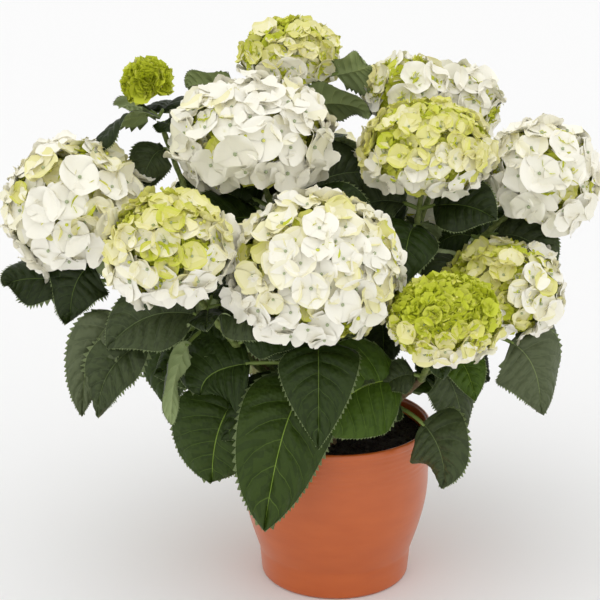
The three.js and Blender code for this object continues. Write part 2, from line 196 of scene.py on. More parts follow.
# Heads and masses of leaves are joined into a few pieces by where they are.
BLOSSOM = {
    "left": ["far_left", "left"],
    "middle": ["centre", "upper_left"],
    "top": ["top", "high_right", "back_high_right", "upper_right"],
    "right": ["far_right_low", "far_right"],
    "back": ["back_right", "back", "back_left"],
    "young": ["bud", "right"],
}
FOLIAGE = {
    "low": ["low_left", "low_front", "low_right", "centre", "right", "far_right_low"],
    "high": ["far_left", "left", "bud", "upper_left", "top", "far_right", "upper_right"],
    "rear": [
        "high_right", "back_high_right", "back_right", "back", "back_left",
        "low_back_right", "low_back_left",
    ],
}

# ---- Colours, as they look on a screen ----

SEPALS = [
    (202, 210, 54), (213, 217, 84), (223, 222, 112), (229, 225, 144),
    (237, 232, 168), (242, 237, 192), (247, 243, 216), (250, 247, 233),
]
EYE = (168, 180, 142)
# The blade, its darker patches (its own mottling, and painted shade in the hollows beside the veins), its
# side veins and its midrib.
GREENS = {
    "deep": [(38, 50, 17), (31, 42, 13), (58, 76, 32), (92, 112, 50)],
    "mid": [(45, 61, 19), (38, 53, 15), (68, 88, 36), (108, 130, 58)],
    "grey": [(66, 77, 45), (57, 67, 39), (82, 95, 60), (110, 126, 78)],
    # This set is a grey green with a painted sheen, for leaves that face the light.
    "painted_sheen": [(88, 97, 67), (80, 89, 60), (102, 112, 78), (124, 138, 88)],
    "low": [(51, 69, 17), (44, 61, 13), (78, 100, 34), (126, 152, 58)],
    "fresh": [(66, 90, 19), (58, 81, 15), (100, 128, 40), (144, 170, 70)],
}
GREEN_NAMES = list(GREENS)
UNDERSIDE = (150, 166, 112)
UNDER_VEIN = (178, 192, 130)
PETIOLE = (126, 146, 70)
PEDICEL = (178, 192, 116)
FLOOR = (240, 240, 240)
# The darker and the lighter of the two colours that each of these drifts between.
BARK = [(84, 66, 44), (142, 122, 88)]
SHOOT = [(92, 108, 48), (140, 152, 84)]
CLAY = [(186, 87, 28), (194, 94, 34)]
COMPOST = [(20, 17, 14), (52, 40, 30)]


def linear(colour):
    """A screen colour as the shader's own."""
    share = np.array(colour, float) / 255
    light = np.where(share <= 0.04045, share / 12.92, ((share + 0.055) / 1.055) ** 2.4)
    return (*[float(v) for v in light], 1.0)


def plain(name, colour, roughness, **sockets):
    """A material of one plain colour."""
    material = bpy.data.materials.new(name)
    material.use_nodes = True
    shader = material.node_tree.nodes["Principled BSDF"]
    shader.inputs["Base Color"].default_value = linear(colour)
    shader.inputs["Roughness"].default_value = roughness
    for socket, value in sockets.items():
        shader.inputs[socket.replace("_", " ")].default_value = value
    return material


def mottled(name, dark, light, roughness, scale, height, stretch=1, **sockets):
    """A colour that drifts between two, with its relief, for wood, clay and compost. stretch draws the
    pattern out sideways."""
    material = textured(name, light, roughness, 0.06, scale * 2, height, **sockets)
    tree = material.node_tree
    place = tree.nodes.new("ShaderNodeTexCoord")
    turn = tree.nodes.new("ShaderNodeMapping")
    turn.inputs["Scale"].default_value = (1, 1, stretch)
    noise = tree.nodes.new("ShaderNodeTexNoise")
    noise.inputs["Scale"].default_value = scale
    noise.inputs["Detail"].default_value = 5
    mix = tree.nodes.new("ShaderNodeMix")
    mix.data_type = "RGBA"
    mix.inputs["A"].default_value = linear(dark)
    mix.inputs["B"].default_value = linear(light)
    sharp = tree.nodes.new("ShaderNodeMapRange")
    sharp.inputs["From Min"].default_value = 0.3
    sharp.inputs["From Max"].default_value = 0.7
    tree.links.new(place.outputs["Object"], turn.inputs["Vector"])
    tree.links.new(turn.outputs["Vector"], noise.inputs["Vector"])
    tree.links.new(noise.outputs["Fac"], sharp.inputs["Value"])
    tree.links.new(sharp.outputs["Result"], mix.inputs["Factor"])
    tree.links.new(mix.outputs["Result"], tree.nodes["Principled BSDF"].inputs["Base Color"])
    return material


def textured(name, colour, roughness, spread, scale, height, **sockets):
    """A plain colour whose gloss and relief come from noise. scale is in cells to the metre and height
    is in millimetres."""
    material = plain(name, colour, roughness, **sockets)
    tree = material.node_tree
    shader = tree.nodes["Principled BSDF"]
    place = tree.nodes.new("ShaderNodeTexCoord")
    cells = tree.nodes.new("ShaderNodeTexVoronoi")
    cells.inputs["Scale"].default_value = scale
    soft = tree.nodes.new("ShaderNodeTexNoise")
    soft.inputs["Scale"].default_value = scale * 0.4
    soft.inputs["Detail"].default_value = 2
    gloss = tree.nodes.new("ShaderNodeMapRange")
    gloss.inputs["To Min"].default_value = roughness - spread
    gloss.inputs["To Max"].default_value = roughness + spread
    bump = tree.nodes.new("ShaderNodeBump")
    bump.inputs["Distance"].default_value = height * MM
    bump.inputs["Strength"].default_value = 0.8
    for texture in (cells, soft):
        tree.links.new(place.outputs["Object"], texture.inputs["Vector"])
    tree.links.new(soft.outputs["Fac"], gloss.inputs["Value"])
    tree.links.new(gloss.outputs["Result"], shader.inputs["Roughness"])
    tree.links.new(cells.outputs["Distance"], bump.inputs["Height"])
    tree.links.new(bump.outputs["Normal"], shader.inputs["Normal"])
    return material


# ---- Meshes ----


class Pile:
    """Points, faces and each face's slot, gathered into one mesh. A triangle's fourth corner is -1."""

    def __init__(self):
        self.points, self.faces, self.slots = [], [], []
        self.count = 0

    def add(self, points, faces, slots):
        faces = np.asarray(faces)
        self.points.append(np.asarray(points, float).reshape(-1, 3))
        self.faces.append(np.where(faces < 0, -1, faces + self.count))
        self.slots.append(np.broadcast_to(slots, len(faces)))
        self.count += len(self.points[-1])

    def piece(self, name, materials):
        """The pile as one smooth piece that rides on the plant's body."""
        points, faces = np.concatenate(self.points), np.concatenate(self.faces)
        sizes = (faces >= 0).sum(1)
        starts = np.concatenate([[0], np.cumsum(sizes)[:-1]])
        corners = faces[faces >= 0]
        mesh = bpy.data.meshes.new(name)
        mesh.vertices.add(len(points))
        mesh.vertices.foreach_set("co", points.astype(np.float32).ravel())
        mesh.loops.add(len(corners))
        mesh.loops.foreach_set("vertex_index", corners.astype(np.int32))
        mesh.polygons.add(len(faces))
        mesh.polygons.foreach_set("loop_start", starts.astype(np.int32))
        for material in materials:
            mesh.materials.append(material)
        mesh.polygons.foreach_set("material_index", np.concatenate(self.slots).astype(np.int32))
        mesh.polygons.foreach_set("use_smooth", np.full(len(faces), True))
        mesh.update(calc_edges=True)
        piece = bpy.data.objects.new(name, mesh)
        bpy.context.scene.collection.objects.link(piece)
        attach(piece, "root")
        print(name, int((sizes - 2).sum()), "triangles")
        return piece


def grid_faces(rows, columns, closed=False):
    """Quads of a grid of points, row after row. A closed grid joins its last column to its first."""
    across = columns if closed else columns - 1
    row, column = np.meshgrid(np.arange(rows - 1), np.arange(across), indexing="ij")
    column = column.ravel()
    after = (column + 1) % columns
    here, beyond = row.ravel() * columns, (row.ravel() + 1) * columns
    return np.stack([here + column, here + after, beyond + after, beyond + column], 1)


def unit(vectors):
    """The same directions at length 1."""
    return vectors / np.maximum(np.linalg.norm(vectors, axis=-1, keepdims=True), 1e-12)


class Curve:
    """A quadratic curve through a start, a control point and an end."""

    def __init__(self, start, control, end):
        self.corners = np.array([start, control, end], float)

    def point(self, t):
        t = np.asarray(t, float)[..., None]
        a, b, c = self.corners
        return (1 - t) ** 2 * a + 2 * t * (1 - t) * b + t**2 * c

    def tangent(self, t):
        t = np.asarray(t, float)[..., None]
        a, b, c = self.corners
        return unit((1 - t) * (b - a) + t * (c - b))

    def length(self):
        return float(np.linalg.norm(np.diff(self.point(np.linspace(0, 1, 20)), axis=0), axis=1).sum())


OFF_UP = 0.013  # keeps a limb that stands upright from being left without a side


def tube(pile, curve, low, high, radius, sides, rings, slot, relief=None):
    """A round limb along a curve, closed at both ends. radius(t) is its radius at a share of the curve,
    and relief(length along, angle round) is what its surface adds."""
    t = np.linspace(low, high, rings)
    centres, along = curve.point(t), curve.tangent(t)
    side = unit(np.cross(along, UP + OFF_UP))
    other = np.cross(along, side)
    angle = np.linspace(0, 2 * np.pi, sides, endpoint=False)
    size = np.broadcast_to(radius(t), rings)[:, None] + np.zeros(sides)
    if relief:
        size = size + relief((t * curve.length())[:, None], angle)
    ring = side[:, None] * np.cos(angle)[:, None] + other[:, None] * np.sin(angle)[:, None]
    points = centres[:, None] + ring * size[..., None]
    first = rings * sides
    turn = np.arange(sides)
    after = (turn + 1) % sides
    bottom = np.stack([after, turn, turn * 0 + first, turn * 0 - 1], 1)
    top = np.stack([turn + first - sides, after + first - sides, turn * 0 + first + 1, turn * 0 - 1], 1)
    faces = np.concatenate([grid_faces(rings, sides, closed=True), bottom, top])
    pile.add(np.concatenate([points.reshape(-1, 3), centres[[0, -1]]]), faces, slot)


# ---- Where the limbs and heads are, from the frame ----

END_DEPTH = 0.004  # how much of a limb's length counts as its end
STEM_BOW = 0.06  # how far a stem bows up, as a share of its length
SHOOT_ROOT = 0.004  # how far a shoot starts inside its stem
SHOOT_BEND = np.array([0.6, 0.6, 0.44])  # where a shoot's control point is, as shares of its run
HEAD_MARGIN = 0.9  # the share of a head's radii that leaves keep out of


def ends(node):
    """The middles of a limb's two ends, the lower first."""
    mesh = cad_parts[node].data
    points = np.empty(len(mesh.vertices) * 3)
    mesh.vertices.foreach_get("co", points)
    points = points.reshape(-1, 3)
    middle = points.mean(0)
    along = np.linalg.svd(points - middle, full_matrices=False)[2][0]
    along = along if along[2] > 0 else -along
    place = (points - middle) @ along
    return points[place < place.min() + END_DEPTH].mean(0), points[place > place.max() - END_DEPTH].mean(0)


def stem_curve(name):
    """A stem, from the compost to its top."""
    foot, top = ends("stem_" + name)
    return Curve(foot, (foot + top) / 2 + UP * STEM_BOW * np.linalg.norm(top - foot), top)


def head_shape(name):
    """The middle of a head and its three radii."""
    low, high = (np.array(corner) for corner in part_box("head_" + name))
    return (low + high) / 2, (high - low) / 2


def shoot_curve(name):
    """The whole shoot: from its stem, through its leaves, to the middle of its head."""
    foot, top = ends("bough_" + name)
    foot = foot - unit(top - foot) * SHOOT_ROOT
    centre, _ = head_shape(name)
    run = centre - foot
    return Curve(foot, foot + run * SHOOT_BEND, centre)


STEM_NAMES = [node[5:] for node in sorted(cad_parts) if node.startswith("stem_")]
STEM_CURVES = {name: stem_curve(name) for name in STEM_NAMES}
SHOOT_CURVES = {name: shoot_curve(name) for name in HEADS}
HEAD_SHAPES = {name: head_shape(name) for name in HEADS}


def inside_head(points):
    """True for each point that lies in a head."""
    hit = np.zeros(len(points), bool)
    for centre, radii in HEAD_SHAPES.values():
        hit |= (((points - centre) / (radii * HEAD_MARGIN)) ** 2).sum(1) < 1
    return hit


# ---- Leaves ----

# The pattern, in shares of the blade's length and of its half width.
VEIN_COUNT = 7
VEIN_HALF = 0.0028
FIRST_VEIN, PAST_VEINS = 0.5, 0.4  # in steps: where the first is, and what the blade adds to seven
VEIN_TAPER = 0.6
VEIN_STAGGER = 0.022  # between the two sides
VEIN_SWEEP = 0.23  # towards the tip
VEIN_BEND = (0.55, 0.45)  # the straight and the bending part of the sweep
VEIN_REACH = 0.7
RIGHT_OF_MIDRIB = 0.1
BETWEEN = (0.2, 0.5, 0.8)  # rows of points between two veins
# How wide the blade is along its length, for leaves that taper and for leaves that are blunt.
OUTLINE_AT = [0, 0.03, 0.1, 0.2, 0.3, 0.4, 0.5, 0.6, 0.7, 0.8, 0.88, 0.94, 0.975, 1]
POINTED = [0.05, 0.4, 0.72, 0.91, 0.99, 1, 0.96, 0.87, 0.74, 0.55, 0.36, 0.19, 0.08, 0.0]
BLUNT = [0.06, 0.42, 0.7, 0.88, 0.97, 1, 0.99, 0.95, 0.87, 0.74, 0.55, 0.33, 0.16, 0.0]
COLUMNS = np.array([0, 0.011, 0.14, 0.33, 0.56, 0.79, 1])
# The second kind is the darker one: the blade's own mottling, and painted shade in the hollows beside its
# veins.
BLADE, MOTTLE_AND_SHADE, VEIN, MIDRIB = range(4)
BLUNT_SIZES = ("large", "broad")


def leaf_pattern():
    """The grid that every leaf is bent from. Rows run out along the side veins and columns along the
    midrib. Gives the share along the blade, the share across (signed), how far each point bulges, how
    much of a vein it is, the faces of the upper side and each face's kind."""
    veins = (np.arange(VEIN_COUNT) + FIRST_VEIN) / (VEIN_COUNT + PAST_VEINS)
    rows = [(0.0, 0, 0.0)]
    edges = [0.0, *veins, 1.0]
    for k in range(VEIN_COUNT + 1):
        low = edges[k] + (VEIN_HALF if k else 0)
        high = edges[k + 1] - (VEIN_HALF if k < VEIN_COUNT else 0)
        shares = BETWEEN if 0 < k < VEIN_COUNT else (0.5,)
        rows += [(low + (high - low) * share, 0, math.sin(math.pi * share)) for share in shares]
        if k < VEIN_COUNT:
            rows += [(veins[k], -1, 0.0), (veins[k], 1, 0.0)]
    rows.append((1.0, 0, 0.0))
    at, sign, bulge = (np.array(values)[:, None] for values in zip(*rows))
    across = np.concatenate([-COLUMNS[:0:-1], COLUMNS])[None, :]
    size = np.abs(across)
    start = at + sign * VEIN_HALF * (1 - VEIN_TAPER * size)
    start = start + VEIN_STAGGER * np.sin(np.pi * start) * (across > RIGHT_OF_MIDRIB)
    end = start + VEIN_SWEEP * np.sin(np.pi * start)
    u = start + (end - start) * (VEIN_BEND[0] * size + VEIN_BEND[1] * size**2)
    columns = across.shape[1]
    quads = grid_faces(len(rows), columns)
    row_of, column_of = quads[:, 0] // columns, quads[:, 0] % columns
    signs = sign[:, 0]
    middle = len(COLUMNS) - 1
    reach = np.minimum(size[0, column_of], size[0, column_of + 1])
    on_vein = (signs[row_of] == -1) & (signs[row_of + 1] == 1) & (reach < VEIN_REACH)
    kind = np.where(on_vein, VEIN, BLADE)
    kind = np.where((column_of == middle) | (column_of == middle - 1), MIDRIB, kind)
    faces = np.concatenate([quads[:, [0, 1, 2]], quads[:, [0, 2, 3]]])
    faces = np.concatenate([faces, np.full((len(faces), 1), -1)], 1)
    return u, across + 0 * u, bulge + 0 * u, np.abs(sign) + 0 * u, faces, np.tile(kind, 2)


LEAF = leaf_pattern()

# What makes each leaf its own, in metres, radians and shares.
VEIN_SHIFT = (0.93, 1.08)  # the power that moves the veins along the blade
LEAF_TURN, TIP_TWIST = 0.08, 0.25  # the spread of each
EDGE_WAVES, EDGE_WAVE = 9.5, 0.0024  # how often the edge waves, and how far
HALF_WAVES, HALF_WAVE = 5.1, 0.0018  # the same for each whole half of the blade
EDGE_DROOP = 0.3
PUFF, PUFF_LENGTH = 0.0032, 0.1  # how far a blade of this length rises between its veins
PUFF_START = 5
UNEVEN, UNEVEN_SCALE = 0.0007, 2.4
UNEVEN_SPREAD = (9, 3, 0.6)  # along, across and up
MIDRIB_EDGE, BLADE_EDGE = 0.03, 0.99  # shares of the half width
MIDRIB_SINK, MIDRIB_THICK, MIDRIB_TAPER = 0.0006, 0.0016, 0.7
BLADE_THICK, VEIN_THICK = 0.0004, 0.0005
TOOTH_REACH, TOOTH_LIMIT = (0.45, 0.8), 0.0034
TOOTH_BASE, TOOTH_PER_WAVE = 0.6, 0.4  # a wavy leaf has larger teeth
TOOTH_BACK, TOOTH_AHEAD = 0.15, 0.85
# Faces that bulge less than HOLLOW_BELOW lie in the hollows beside the veins, where the darker kind is
# painted shade as well as mottling; elsewhere it is mottling alone.
HOLLOW_BELOW, MOTTLE_AND_SHADE_IN_HOLLOW, MOTTLE_ELSEWHERE = 0.62, 0.55, 0.22
STALK_RADIUS, STALK_TAPER, STALK_INTO_BLADE = 0.0021, 0.006, 0.03
FOLDS, WAVES = (4, 20), (0.7, 1.5)  # degrees from flat, and how much the edge waves
UPWARD_ARCH = 0.5  # what a leaf that points up rises besides, as a share of its lift
FACE_LEAN = 50  # degrees that a sideways leaf turns its face outwards
BACK_HALF = 0.04  # leaves that start behind this depth turn to the back
LOW_BELOW = 0.26  # leaves that start under this height take the low greens
LOW_GREENS, HIGH_GREENS = ["low", "mid"], ["deep", "grey", "mid"]


def noise(points, seed, scale):
    """A smooth uneven field from a few waves."""
    random = np.random.default_rng(seed)
    value = np.zeros(len(points))
    for _ in range(5):
        value += np.sin(points @ (random.normal(size=3) * scale) + random.uniform(0, TURN))
    return value / 3


def leaf_measures(droop, size):
    """A leaf's reach, its drop and its width."""
    length, width = LEAF_SIZES[size]
    down = math.radians(droop)
    return length * math.cos(down), length * math.sin(down), width


def leaf_spine(curve, at, heading, reach, drop, arch, elbow):
    """The curve of a leaf's stalk and midrib, and the direction that it sets out in."""
    node = curve.point(at)
    ahead = np.array([math.cos(math.radians(heading)), math.sin(math.radians(heading)), 0])
    tip = node + ahead * reach * MM - UP * drop * MM
    rise = arch * math.hypot(reach, drop) - min(0, drop) * UPWARD_ARCH
    return Curve(node, node + ahead * elbow * reach * MM + UP * rise * MM, tip), ahead


def edge_teeth(points, random, wave):
    """A tooth on each stretch of the edge, which points towards the tip: their points and faces."""
    columns = points.shape[1]
    jagged = TOOTH_BASE + TOOTH_PER_WAVE * wave
    teeth, faces = [], []
    for column, inner in ((0, 1), (columns - 1, columns - 2)):
        low, high = points[:-1, column], points[1:, column]
        step = high - low
        outward = unit(low - points[:-1, inner])
        outward = unit(outward - unit(step) * (outward * unit(step)).sum(1)[:, None])
        reach = np.linalg.norm(step, axis=1) * random.uniform(*TOOTH_REACH, len(step)) * jagged
        reach = np.minimum(reach, TOOTH_LIMIT * jagged)
        rows = np.arange(len(step))
        apex = points[..., 0].size + rows + (len(step) if column else 0)
        teeth.append(low * TOOTH_BACK + high * TOOTH_AHEAD + outward * reach[:, None])
        corners = [rows * columns + column, (rows + 1) * columns + column]
        corners = corners if column else corners[::-1]
        faces.append(np.stack([corners[0], apex, corners[1], rows * 0 - 1], 1))
    return teeth, faces


def add_leaf(pile, twigs, spine, ahead, width, green, random, roll, fold, wave, stalk, outline=POINTED):
    """One leaf along its spine: a stalk, then the blade with its veins, teeth and paler underside."""
    u, across, bulge, vein, faces, kind = LEAF
    u = u ** random.uniform(*VEIN_SHIFT)
    length = spine.length() * (1 - stalk)
    t = stalk + (1 - stalk) * u
    along = spine.tangent(t)
    flat = np.array([-ahead[1], ahead[0], 0])
    side0 = unit(flat - along * (along @ flat)[..., None])
    up0 = np.cross(along, side0)
    twist = roll + random.normal(0, LEAF_TURN) + random.normal(0, TIP_TWIST) * u
    side = side0 * np.cos(twist)[..., None] + up0 * np.sin(twist)[..., None]
    face = np.cross(along, side)
    half = np.interp(u, OUTLINE_AT, outline) * width / 2
    size = np.abs(across)
    # The blade's halves rise or fall from the midrib, and its edge waves.
    phase = random.uniform(0, TURN, 2)
    side_phase = np.where(across > 0, phase[0], phase[1])
    waves = np.sin(u * EDGE_WAVES + side_phase) * size**2 * wave * EDGE_WAVE
    waves += np.sin(u * HALF_WAVES + phase[1] * 2) * size * wave * HALF_WAVE
    spread = across * half
    angle = fold - EDGE_DROOP * size
    on_midrib, within = size < MIDRIB_EDGE, size < BLADE_EDGE
    relief = bulge * (1 - size**4) * np.minimum(1, size * PUFF_START) * PUFF * length / PUFF_LENGTH
    places = np.stack([u, across, bulge], -1) * UNEVEN_SPREAD
    uneven = noise(places.reshape(-1, 3), int(random.integers(1e6)), UNEVEN_SCALE)
    relief += uneven.reshape(u.shape) * UNEVEN * size * (1 - vein) * within
    relief -= np.where(on_midrib, MIDRIB_SINK, 0)
    height = np.abs(spread) * np.sin(angle) + waves + relief
    points = spine.point(t) + side * (spread * np.cos(angle))[..., None] + face * height[..., None]
    midrib_thick = MIDRIB_THICK * (1 - MIDRIB_TAPER * u)
    blade_thick = BLADE_THICK + VEIN_THICK * vein * (1 - size)
    thick = np.where(on_midrib, midrib_thick, blade_thick) * within
    under = points - face * thick[..., None]
    teeth, tooth_faces = edge_teeth(points, random, wave)
    upper = np.concatenate([faces, *tooth_faces])
    more = len(upper) - len(faces)
    kinds = np.concatenate([kind, np.full(more, BLADE)])
    # The blade is darker in patches of its own, and more of it is darkened by painted shade in the hollows
    # beside the veins.
    in_shaded_hollow = bulge.ravel()[faces[:, :3]].mean(1) < HOLLOW_BELOW
    chance = np.where(np.concatenate([in_shaded_hollow, np.zeros(more, bool)]), MOTTLE_AND_SHADE_IN_HOLLOW, MOTTLE_ELSEWHERE)
    kinds = np.where((kinds == BLADE) & (random.random(len(kinds)) < chance), MOTTLE_AND_SHADE, kinds)
    lower = np.concatenate([upper[:, 2::-1], upper[:, 3:]], 1)
    pile.add(np.concatenate([points.reshape(-1, 3), *teeth]), upper, 4 * GREEN_NAMES.index(green) + kinds)
    pile.add(np.concatenate([under.reshape(-1, 3), *teeth]), lower, 4 * len(GREENS) + (kinds >= VEIN))
    reach = spine.length()
    tube(twigs, spine, 0, stalk + STALK_INTO_BLADE, lambda s: STALK_RADIUS - STALK_TAPER * s * reach, 6, 6, 0)


CLEAR_TRIES = 9
LOWER_BY, FLATTEN_BY = 7, 0.02  # at each try
LOOK_ALONG = np.linspace(0.25, 1, 12)  # where a spine has to be clear of the heads


def clear_spine(curve, at, heading, reach, drop, arch, elbow):
    """A spine that is lowered until its leaf passes under the heads, or None if it can't be."""
    for _ in range(CLEAR_TRIES):
        spine, ahead = leaf_spine(curve, at, heading, reach, drop, arch, elbow)
        if not inside_head(spine.point(LOOK_ALONG)).any():
            return spine, ahead
        drop += LOWER_BY
        arch -= FLATTEN_BY
    return None


def face_lean(spine, ahead):
    """How far a leaf turns about its midrib to show its face, in degrees."""
    return (FACE_LEAN if spine.corners[0][1] < BACK_HALF else -FACE_LEAN) * ahead[0]


PAIR_NEAR, PAIR_APART = 0.2, 55  # a leaf this near, along and round, is the other of the pair
PAIR_SWING, PAIR_SHARE, PAIR_BELOW = 20, (0.55, 0.72), 0.02


def make_leaves(twigs):
    """Every leaf, in a pile for each group, with the stalks in twigs."""
    piles = {group: Pile() for group in FOLIAGE}
    group_of = {name: group for group, names in FOLIAGE.items() for name in names}
    for order, (name, rows) in enumerate(LEAVES.items()):
        curve = STEM_CURVES[name[4:]] if name.startswith("low_") else SHOOT_CURVES[name]
        pile = piles[group_of[name]]
        random = np.random.default_rng(100 + order)
        grown = []
        for at, heading, droop, size, other in rows:
            arch, elbow, stalk = HOLDS[other.get("hold", "spread")]
            reach, drop, width = leaf_measures(droop, size)
            spine, ahead = leaf_spine(curve, at, heading, reach, drop, arch, elbow)
            roll = math.radians(other.get("roll", face_lean(spine, ahead)))
            low = spine.corners[0][2] < LOW_BELOW
            green = other.get("green") or random.choice(LOW_GREENS if low else HIGH_GREENS)
            fold = math.radians(random.uniform(*FOLDS))
            wave = other.get("wave", random.uniform(*WAVES))
            outline = BLUNT if size in BLUNT_SIZES else POINTED
            add_leaf(
                pile, twigs, spine, ahead, width * MM, green, random, roll, fold, wave, stalk, outline
            )
            grown.append((at, heading))
        # The other leaf of each pair, where no leaf is yet, grows smaller into the crown.
        arch, elbow, stalk = HOLDS["spread"]
        for at, heading, droop, size, _ in rows:
            reach, drop, width = leaf_measures(droop, size)
            opposite = heading + 180 + random.uniform(-PAIR_SWING, PAIR_SWING)
            round_from = [abs((h - opposite + 180) % 360 - 180) for a, h in grown if abs(a - at) < PAIR_NEAR]
            if any(angle < PAIR_APART for angle in round_from):
                continue
            share = random.uniform(*PAIR_SHARE)
            reach, drop = reach * share, max(0, drop) * share
            found = clear_spine(curve, at - PAIR_BELOW, opposite, reach, drop, arch, elbow)
            if not found:
                continue
            spine, ahead = found
            green = random.choice(HIGH_GREENS)
            roll = math.radians(face_lean(spine, ahead))
            fold = math.radians(random.uniform(*FOLDS))
            wave = random.uniform(*WAVES)
            add_leaf(
                pile, twigs, spine, ahead, width * share * MM, green, random, roll, fold, wave, stalk
            )
            grown.append((at, opposite))
    return piles


# ---- Florets ----

# A sepal, in shares of its length, radians and powers.
SEPAL_START, SEPAL_WIDEST, SEPAL_TIP = 0.05, 0.58, 0.52
SEPAL_WIDTH, SEPAL_FLARE, SEPAL_ROUNDING = 0.8, 0.6, 0.12
SEPAL_LENGTHS, SEPAL_WIDTHS = (0.86, 1.12), (0.9, 1.08)
CUP_YOUNG, CUP_LOST, CUP_SPREAD, CUP_POWER = 0.62, 0.36, 0.1, 1.7
BEND_SPREAD, TURN_SPREAD, TILT = 0.07, 0.09, 0.1
RUFFLES, RUFFLE, TROUGH = 2.6, 0.07, 0.16
TIP_CURL, CURL_FROM = 0.14, 0.9
# How the colours are dealt out, in steps of SEPALS.
PAST_WHITE, EDGE_GREEN, FLORET_DRIFT, SEPAL_DRIFT = 0.6, 1.6, 0.7, 0.3
# The bead in the middle, in shares of the floret's width and with its least size in metres.
EYE_UP, EYE_SIZE, EYE_LEAST = 0.035, 0.04, 0.0004


def floret_pattern(rows, columns):
    """Four sepals of a flat floret: share along, share across, sepal number, faces and each face's row."""
    lengthways, sideways = np.linspace(SEPAL_START, 1, rows + 1), np.linspace(-1, 1, columns + 1)
    along, across = np.meshgrid(lengthways, sideways, indexing="ij")
    count = along.size
    faces = grid_faces(rows + 1, columns + 1)
    return (
        np.tile(along.ravel(), 4),
        np.tile(across.ravel(), 4),
        np.repeat(np.arange(4), count),
        np.concatenate([faces + k * count for k in range(4)]),
        np.tile(faces[:, 0] // (columns + 1), 4),
    )


def bead_pattern():
    """A small round bead: points of a unit ball and its faces."""
    rings, sides = 3, 6
    points = [(0, 0, -1)]
    for k in range(1, rings):
        height = math.pi * (k / rings - 0.5)
        for s in range(sides):
            turn = 2 * math.pi * (s + 0.5 * k) / sides
            radius = math.cos(height)
            points.append((radius * math.cos(turn), radius * math.sin(turn), math.sin(height)))
    points.append((0, 0, 1))
    last = len(points) - 1
    faces = [(0, 1 + (s + 1) % sides, 1 + s, -1) for s in range(sides)]
    for k in range(rings - 2):
        a, b = 1 + k * sides, 1 + (k + 1) * sides
        for s in range(sides):
            after = (s + 1) % sides
            faces += [(a + s, a + after, b + s, -1), (a + after, b + after, b + s, -1)]
    a = 1 + (rings - 2) * sides
    faces += [(a + s, a + (s + 1) % sides, last, -1) for s in range(sides)]
    return np.array(points, float), np.array(faces)


WIDE = floret_pattern(5, 4)
SMALL = floret_pattern(2, 2)
BEAD = bead_pattern()


def frames_of(outward, random):
    """Two directions square to each outward one, at a random turn."""
    side = unit(np.cross(outward, unit(random.normal(size=outward.shape))))
    return side, np.cross(outward, side)


def add_beads(pile, centres, sizes, slots):
    """A bead at each centre."""
    points, faces = BEAD
    made = centres[:, None] + points * sizes[:, None, None]
    count = len(points)
    all_faces = np.where(faces < 0, -1, faces + np.arange(len(centres))[:, None, None] * count)
    pile.add(made, all_faces.reshape(-1, 4), np.repeat(np.broadcast_to(slots, len(centres)), len(faces)))


def add_florets(pile, pattern, centres, outward, sizes, openness, random):
    """Florets that face outward. openness gives each one's shape and colour."""
    along, across, sepal, faces, row = pattern
    count = len(centres)
    if not count:
        return
    length = (sizes / 2)[:, None] * random.uniform(*SEPAL_LENGTHS, (count, 4))[:, sepal]
    tip = np.sqrt(np.maximum(0, 1 - ((along - SEPAL_WIDEST) / SEPAL_TIP) ** 2))
    flare = (along / SEPAL_WIDEST) ** SEPAL_FLARE
    wide = SEPAL_WIDTH * np.where(along < SEPAL_WIDEST, flare, tip)
    x = across * wide * length * random.uniform(*SEPAL_WIDTHS, (count, 4))[:, sepal]
    y = along * length * (1 - SEPAL_ROUNDING * across**2 * along)
    cup = (CUP_YOUNG - CUP_LOST * openness + random.normal(0, CUP_SPREAD, count))[:, None]
    bend = random.normal(0, BEND_SPREAD, (count, 4))[:, sepal]
    tilt = (random.choice([-1, 1], count) * TILT)[:, None]
    phase = random.uniform(0, TURN, (count, 4))[:, sepal]
    ruffle = np.sin(across * RUFFLES + phase) * RUFFLE * along**2
    z = length * ((cup + bend) * along**CUP_POWER + TROUGH * across**2 * along + ruffle) + tilt * x
    z -= length * TIP_CURL * (along > CURL_FROM) * openness[:, None]
    turn = sepal * np.pi / 2 + random.normal(0, TURN_SPREAD, (count, 4))[:, sepal]
    fx = x * np.cos(turn) - y * np.sin(turn)
    fy = x * np.sin(turn) + y * np.cos(turn)
    side, other = frames_of(outward, random)
    points = centres[:, None] + side[:, None] * fx[..., None]
    points = points + other[:, None] * fy[..., None] + outward[:, None] * z[..., None]
    # A half-open sepal is greener towards its edge.
    edge = (row / max(1, row.max())) ** 2
    half_open = 4 * openness * (1 - openness)
    value = openness[:, None] * (len(SEPALS) + PAST_WHITE) - edge * EDGE_GREEN * half_open[:, None]
    value = value + random.normal(0, FLORET_DRIFT, (count, 1))
    value = value + random.normal(0, SEPAL_DRIFT, (count, 4))[:, sepal[faces[:, 0]]]
    slots = np.clip(value, 0, len(SEPALS) - 1).astype(int)
    all_faces = faces + np.arange(count)[:, None, None] * len(along)
    pile.add(points, all_faces.reshape(-1, 4), slots.reshape(-1))
    eyes = centres + outward * sizes[:, None] * EYE_UP
    add_beads(pile, eyes, sizes * EYE_SIZE + EYE_LEAST, len(SEPALS))


def scatter(candidates, spacing):
    """Which candidates stay, when each keeps its own spacing from those before it."""
    kept = []
    for i, (point, space) in enumerate(zip(candidates, spacing)):
        if kept:
            gaps = np.linalg.norm(candidates[kept] - point, axis=1)
            if (gaps < (spacing[kept] + space) / 2).any():
                continue
        kept.append(i)
    return np.array(kept)


